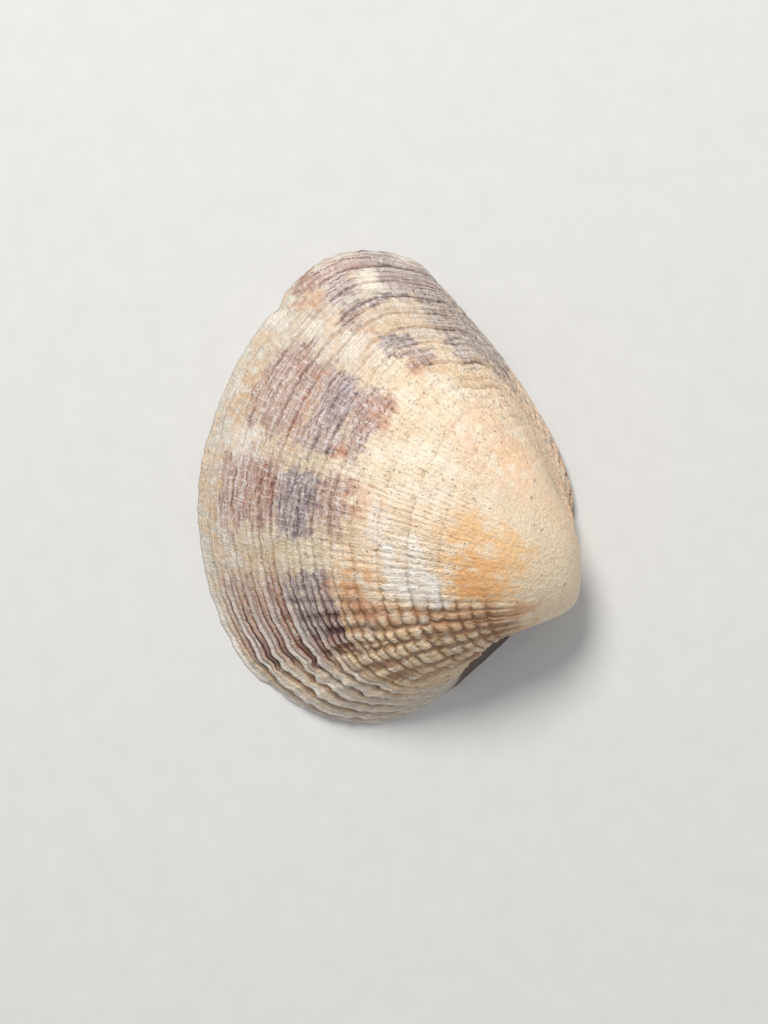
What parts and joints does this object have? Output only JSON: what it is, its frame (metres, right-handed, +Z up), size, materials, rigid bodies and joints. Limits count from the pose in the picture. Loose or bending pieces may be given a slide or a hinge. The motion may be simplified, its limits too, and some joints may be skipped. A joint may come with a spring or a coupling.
{
  "type": "venus clam shell",
  "caption": "One right valve of a venus clam, domed, with growth ridges, radial ribs, a curled beak, a flat rim and a hinge plate with teeth inside.",
  "frame": {"origin": "middle of the bounding box on the plane that the margin rests on", "axes": "+X to the front (lunule) end, +Y to the beak, +Z up through the outer face"},
  "size_m": [0.044, 0.035, 0.0129],
  "materials": {
    "shell": "natural shell, chalky at the beak and satin at the margin, cream with orange, mauve and slate bands"
  },
  "bodies": {
    "root": {"valve": "shell"}
  },
  "joints": []
}
